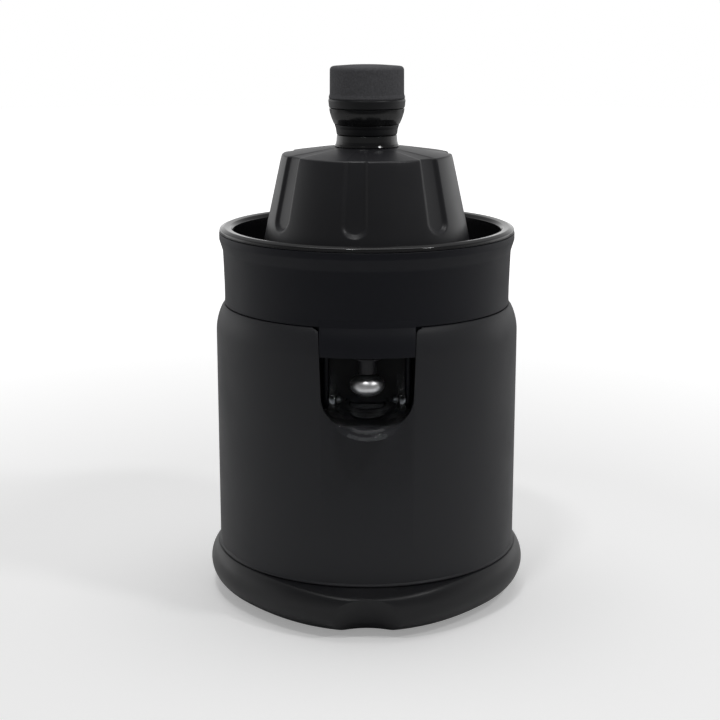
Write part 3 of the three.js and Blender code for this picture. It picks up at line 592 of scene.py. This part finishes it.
def make_stopper():
    """The drip-stop plug: a silver lens on an upright stem, with a rubber washer under the drain."""
    middle, lens_r, lens_half = 131.6, 9, 5.8
    turns = [math.radians(a) for a in range(-84, 90, 6)]
    lens = [(0, middle - lens_half)]
    lens += [(lens_r * math.cos(t), middle + lens_half * math.sin(t)) for t in turns]
    lens += [(0, middle + lens_half)]
    post = [(0, 137.8), (4.65, 137.8, 0.4), (4.65, 145.2, 0.6), (7, 145.2, 0.4), (7, 146.3, 0.3),
            (3, 146.3), (3, 158, 0.8), (0, 158)]
    gasket = [(3.3, 146.6, 0.2), (7.6, 146.6, 0.6), (7.6, 148.4, 0.6), (3.3, 148.4, 0.2)]
    for name, outline, facets, slot, node in (
            ("stopper_cap", lens, 96, "silver", "stopper_button"),
            ("stopper_post", post, 48, "shell", "stopper_stem"),
            ("stopper_gasket", gasket, 48, "rubber", "outlet_seal")):
        place(moved(turned(name, outline, facets), y=OUTLET_Y), "stopper", slot, node)


# ------------------------------------------------------------------ strainer and cone
def make_strainer():
    """A gloss basket whose rim covers the bowl's edge, with slots of two lengths in its floor."""
    outline = [(13, 177, 0.4), (13, 169.5), (16, 169.4, 2), (71, 167.6, 2), (73.8, 170.8, 2),
               (74.7, 191), (76.6, 201.4, 1), (80.2, 201.4, 0.3), (80.0, 203.1, 1.0),
               (77.5, 204.1, 1.6), (74.2, 203.7, 1.2), (72.8, 202.2, 0.8), (72.6, 198),
               (71.6, 172.4, 2.5), (69.5, 170, 2), (16.5, 171.8, 2), (15, 177, 0.6)]
    tray = turned("strainer_basket", outline, 240)
    slots = 32
    cutters = []
    for i in range(slots):
        near, far = (24, 64) if i % 2 else (34, 58)
        ends = [(near, -0.9), (far, -1.1), (far + 0.9, 0), (far, 1.1), (near, 0.9), (near - 0.8, 0)]
        slot = prism("slot", ends, 160, 176)
        slot.data.transform(Matrix.Rotation(2 * math.pi * (i + 0.5) / slots, 4, "Z"))
        cutters.append(slot)
    combine(tray, cutters, "DIFFERENCE")
    place(tray, "strainer", "gloss", "strainer")


def make_cone():
    """A reamer: ten sharp ridges that fade out at the tip and the rim."""
    bottom, top, rim = 176.5, 226, 37
    ridge_turn, ridge_depth, ridge_power = 5, 3.4, 1.5
    fade_low, fade_high, fade_span = 0.04, 0.985, 0.14

    def ridged(angle, r, z):
        height = (z - bottom) / (top - bottom)
        outside = r > 36.2 - 34 * height - 4 * height * (1 - height) and fade_low < height < fade_high
        if not outside or r < 3:
            return r, z
        crest = abs(math.cos(math.radians(angle * ridge_turn)))
        depth = min(ridge_depth, 0.16 * r) * ease((height - fade_low) / fade_span)
        return r - depth * (1 - crest ** ridge_power), z

    skin = [(0, top), (2.5, top - 0.5), (5, top - 2.2), (8, top - 6), (12, top - 12.5),
            (17, top - 20.5), (22, top - 28.5), (27, top - 36), (31.5, top - 41.8),
            (rim - 0.8, bottom + 2.2), (rim, bottom + 1.2, 0.5), (rim - 0.4, bottom, 0.4)]
    inside = [(rim - 3, bottom, 0.4), (28, bottom + 7, 3), (20, top - 30, 3), (8.5, top - 17, 2),
              (8.5, 181.6, 0.5), (0, 181.6)]
    cone = turned("reamer_moulding", skin + inside, 240, ridged)
    combine(cone, [prism("socket", hexagon(4.75), 180, 207.2)], "DIFFERENCE")
    place(cone, "cone", "gloss", "reamer_cone")
    ring = [(10.6, 179.3, 0.3), (15, 179.3, 0.4), (15, 181.3, 0.4), (10.6, 181.3, 0.3)]
    place(turned("thrust_ring", ring, 64), "cone_ring", "white", "cone_ring")


# ------------------------------------------------------------------ press lid and knob
def make_lid():
    """A tapered cup with seven shallow flutes that run out at the shoulder, on four small feet."""
    bottom_r, bottom, top_r, top, wall, crown = 60.5, 176.2, 46.0, 242.6, 2.8, 246.6
    slope = (bottom_r - top_r) / (top - bottom)
    flutes, flute_half, flute_depth, flute_foot, flute_first = 7, 7.2, 2.0, 211.0, -97
    flute_side, flute_r, inner_r, hollow_share = 2.4, 50, 30, 0.3

    def fluted(angle, r, z):
        if r < inner_r or z < flute_foot - flute_half - 1:
            return r, z
        across = min(away(angle, flute_first + 360 * i / flutes) for i in range(flutes))
        u = math.radians(across) * flute_r
        d = u if z > flute_foot else math.hypot(u, z - flute_foot)
        step = ease((flute_half - d) / flute_side)
        hollow = hollow_share * math.cos(min(1, d / flute_half) * math.pi / 2)
        return r - flute_depth * step * (1 - hollow_share + hollow), z

    outer = [(bottom_r - wall, bottom, 0.5), (bottom_r, bottom, 0.8)]
    heights = [198, 202] + [203.6 + 0.55 * i for i in range(15)] + [213, 218, 224, 230, 236, 239.6]
    outer += [(bottom_r - slope * (z - bottom), z) for z in heights]
    outer += arc(top_r - 1.25, top - 0.95, 1.3, 12, 84, 5)
    outer += [(30, crown - 1.5), (18.4, crown, 1), (6, crown), (6, crown - wall),
              (20, crown - wall - 0.4), (top_r - wall - 1, top - wall)]
    inner_heights = (236, 224, 215, 211, 208, 205, 200)
    outer += [(bottom_r - wall - slope * (z - bottom), z) for z in inner_heights]
    lid = turned("lid_shell", outer, 480, fluted)
    feet = []
    for angle in (45, 135, 225, 315):
        foot = block("foot", 56.4, 59.6, -4, 4, 170.7, bottom + 3)
        feet.append(spun(bevelled(foot, 0.5, 2), angle))
    combine(lid, feet, "UNION")
    place(lid, "lid", "satin", "press_lid", angle=40, look="lid")


def make_knob():
    """Neck, collar, cup, band and grip, stacked on a bolt with thin gaps between them."""
    bolt = 2.8
    neck = [(bolt, 246.9), (17.6, 246.9, 0.2), (16.8, 248.2, 1.5), (16.4, 249.8, 3), (16.2, 253.0, 0.4),
            (bolt, 253)]
    collar = [(bolt, 253.3), (16.3, 253.3, 0.3), (16.75, 256.4, 3), (17.5, 258.5, 0.3), (bolt, 258.5)]
    cup = [(bolt, 258.8), (17.75, 258.8, 0.3), (19, 261.7, 6), (20, 264.9, 6), (20.3, 267, 0.2),
           (14, 267), (14, 276), (bolt, 276)]
    band = [(14.3, 267.3), (20.3, 267.3, 0.5), (20.7, 271.2, 0.7), (20.4, 272.1, 0.4), (14.3, 272.1)]
    grip = [(14.3, 272.2), (20.3, 272.2, 0.2), (20.45, 272.9, 0.4), (19.95, 274.6, 1.2), (19.85, 287)]
    grip += arc(17.75, 287.1, 2.1, 10, 72, 5) + [(10, 289.75), (0, 290), (0, 277), (14.3, 277)]
    for name, outline, slot, nodes in (
            ("neck_moulding", neck, "gloss", ["lid_neck"]),
            ("collar_moulding", collar, "satin", ["neck_collar"]),
            ("knob_cup", cup, "gloss", ["knob_base"]),
            ("knob_cap", grip, "grip", ["knob_grip"]),
            ("knob_band", band, "satin", [])):
        place(turned(name, outline, 128, fillet_steps=5), "lid", slot, *nodes)


# ------------------------------------------------------------------ spindle and small hardware
def make_spindle():
    """The hexagonal drive shaft with its flange, and the bush and lip seal it turns in."""
    outline = [(0, 120), (4.5, 120), (4.5, 129.5), (8, 129.5, 0.3), (8, 130.6, 0.3), (4.5, 130.6),
               (4.5, 176, 0.4), (0, 176)]
    shaft = turned("spindle_shaft", outline, 64)
    ends = []
    for low, high in ((89, 121), (175, 206)):
        ends.append(bevelled(prism("hex", hexagon(4.4), low, high), 0.35, 2, 40))
    combine(shaft, ends, "UNION")
    place(shaft, "spindle", "steel", "drive_spindle")
    bush = [(4.85, 131.6, 0.3), (6.3, 131.6, 0.3), (6.3, 158, 0.3), (4.85, 158, 0.3)]
    place(turned("bush_sleeve", bush, 64), "body", "white", "spindle_bush")
    seal = [(4.9, 158.3, 0.2), (9, 158.3, 0.5), (9, 160, 0.5), (6.8, 160.2, 0.4), (5.6, 161, 0.2),
            (4.9, 161, 0.1)]
    place(turned("lip_seal", seal, 64), "body", "rubber", "spindle_seal")


def dress_frame_nodes():
    """CAD nodes that stay visible get their slot's finished material."""
    slots = {part["node"]: part["material_slot"] for part in frame["record"]["subparts"]}
    for name, obj in frame["nodes"].items():
        obj.data.materials.clear()
        obj.data.materials.append(LOOKS[slots[name]])


# ------------------------------------------------------------------ studio
def pick_by_ray(nodes, links, reflected, seen, output):
    """Shows one shader to the camera and another to every other ray."""
    pick = nodes.new("ShaderNodeMixShader")
    path = nodes.new("ShaderNodeLightPath")
    links.new(path.outputs["Is Camera Ray"], pick.inputs["Fac"])
    links.new(reflected, pick.inputs[1])
    links.new(seen, pick.inputs[2])
    links.new(pick.outputs["Shader"], output.inputs["Surface"])


def make_stage():
    """A pale floor with painted light and shade: the camera sees it glow more strongly outwards, to
    white; reflections see it painted darker forwards.
    """
    floor = turned("floor", [(0, -0.02), (4000, -0.02), (4000, -5), (0, -5)], 64)
    paint = bpy.data.materials.new("floor_paint")
    paint.use_nodes = True
    nodes, links = paint.node_tree.nodes, paint.node_tree.links
    shown = nodes["Principled BSDF"]
    shown.inputs["Base Color"].default_value = (0.9, 0.9, 0.9, 1)
    shown.inputs["Roughness"].default_value = 0.9
    shown.inputs["Specular IOR Level"].default_value = 0.0
    shown.inputs["Emission Color"].default_value = (1, 1, 1, 1)
    where = nodes.new("ShaderNodeTexCoord")
    spread = nodes.new("ShaderNodeVectorMath")
    spread.operation = "LENGTH"
    links.new(where.outputs["Object"], spread.inputs[0])
    # painted light: the floor glows, weakly near the object and up to full white farther out, so the
    # contact shadow shows only close by
    glow = ramp(nodes, links, spread.outputs["Value"], (0.25, 1.2), (0.28, 1.0))
    links.new(glow, shown.inputs["Emission Strength"])
    split = nodes.new("ShaderNodeSeparateXYZ")
    links.new(where.outputs["Object"], split.inputs["Vector"])
    # painted shade: the colour that reflections see on the floor darkens towards the front
    shade = ramp(nodes, links, split.outputs["Y"], (-0.75, -0.25), (0.12, 0.9), "SMOOTHSTEP")
    unseen = nodes.new("ShaderNodeBsdfDiffuse")
    links.new(shade, unseen.inputs["Color"])
    pick_by_ray(nodes, links, unseen.outputs["BSDF"], shown.outputs["BSDF"], nodes["Material Output"])
    floor.data.materials.append(paint)


def area_light(name, size, place_at, aim, power):
    lamp = bpy.data.lights.new(name, "AREA")
    lamp.shape = "RECTANGLE"
    lamp.size, lamp.size_y = size
    lamp.energy = power
    obj = bpy.data.objects.new(name, lamp)
    SCENE.collection.objects.link(obj)
    obj.location = place_at
    obj.rotation_euler = (Vector(aim) - Vector(place_at)).to_track_quat("-Z", "Y").to_euler()
    return obj


def make_light():
    """A white room that dims upwards and in front, with large soft lamps and two small glint lamps."""
    world = bpy.data.worlds.new("studio")
    SCENE.world = world
    world.use_nodes = True
    nodes, links = world.node_tree.nodes, world.node_tree.links
    ground = nodes["Background"]
    where = nodes.new("ShaderNodeTexCoord")
    split = nodes.new("ShaderNodeSeparateXYZ")
    links.new(where.outputs["Generated"], split.inputs["Vector"])
    depth = ramp(nodes, links, split.outputs["Y"], (-0.55, 0.55), (0.3, 1.0), "SMOOTHSTEP")
    height = ramp(nodes, links, split.outputs["Z"], (0.06, 0.45), (1.0, 0.35), "SMOOTHSTEP")
    both = nodes.new("ShaderNodeMath")
    both.operation = "MULTIPLY"
    links.new(depth, both.inputs[0])
    links.new(height, both.inputs[1])
    links.new(both.outputs["Value"], ground.inputs["Strength"])
    ground.inputs["Color"].default_value = (1, 1, 1, 1)
    seen = nodes.new("ShaderNodeBackground")
    seen.inputs["Color"].default_value = (1, 1, 1, 1)
    pick_by_ray(nodes, links, ground.outputs["Background"], seen.outputs["Background"],
                nodes["World Output"])
    middle, glint_size, glint_power = (0, 0, 0.15), (0.12, 0.08), 1.6
    area_light("overhead", (0.9, 0.7), (0.0, 0.15, 1.25), (0, 0, 0.1), 3.2)
    for side in (-1, 1):
        area_light("side_box", (0.6, 0.7), (side * 0.85, 0.53, 0.3), middle, 0.4)
    area_light("lamp_left", glint_size, (-0.15, -0.45, 1.1), middle, glint_power)
    area_light("lamp_right", glint_size, (0.62, -0.4, 0.95), middle, glint_power)


def make_camera():
    """A long lens a little above the knob's height, tilted down by about 13 degrees."""
    tilt_down = 13.13
    lens = bpy.data.cameras.new("camera")
    lens.sensor_width = 36
    lens.lens = 77.5
    lens.clip_end = 50
    camera = bpy.data.objects.new("camera", lens)
    SCENE.collection.objects.link(camera)
    camera.location = (-0.0037, -0.84, 0.3242)
    camera.rotation_euler = (math.radians(90 - tilt_down), 0, 0)
    SCENE.camera = camera
    SCENE.view_settings.view_transform = "Standard"


make_camera()
dress_frame_nodes()
make_housing()
make_base_ring()
make_base_plate()
make_feet()
make_inlet()
make_deck()
make_collector()
make_spout()
make_stopper()
make_strainer()
make_cone()
make_lid()
make_knob()
make_spindle()
make_stage()
make_light()
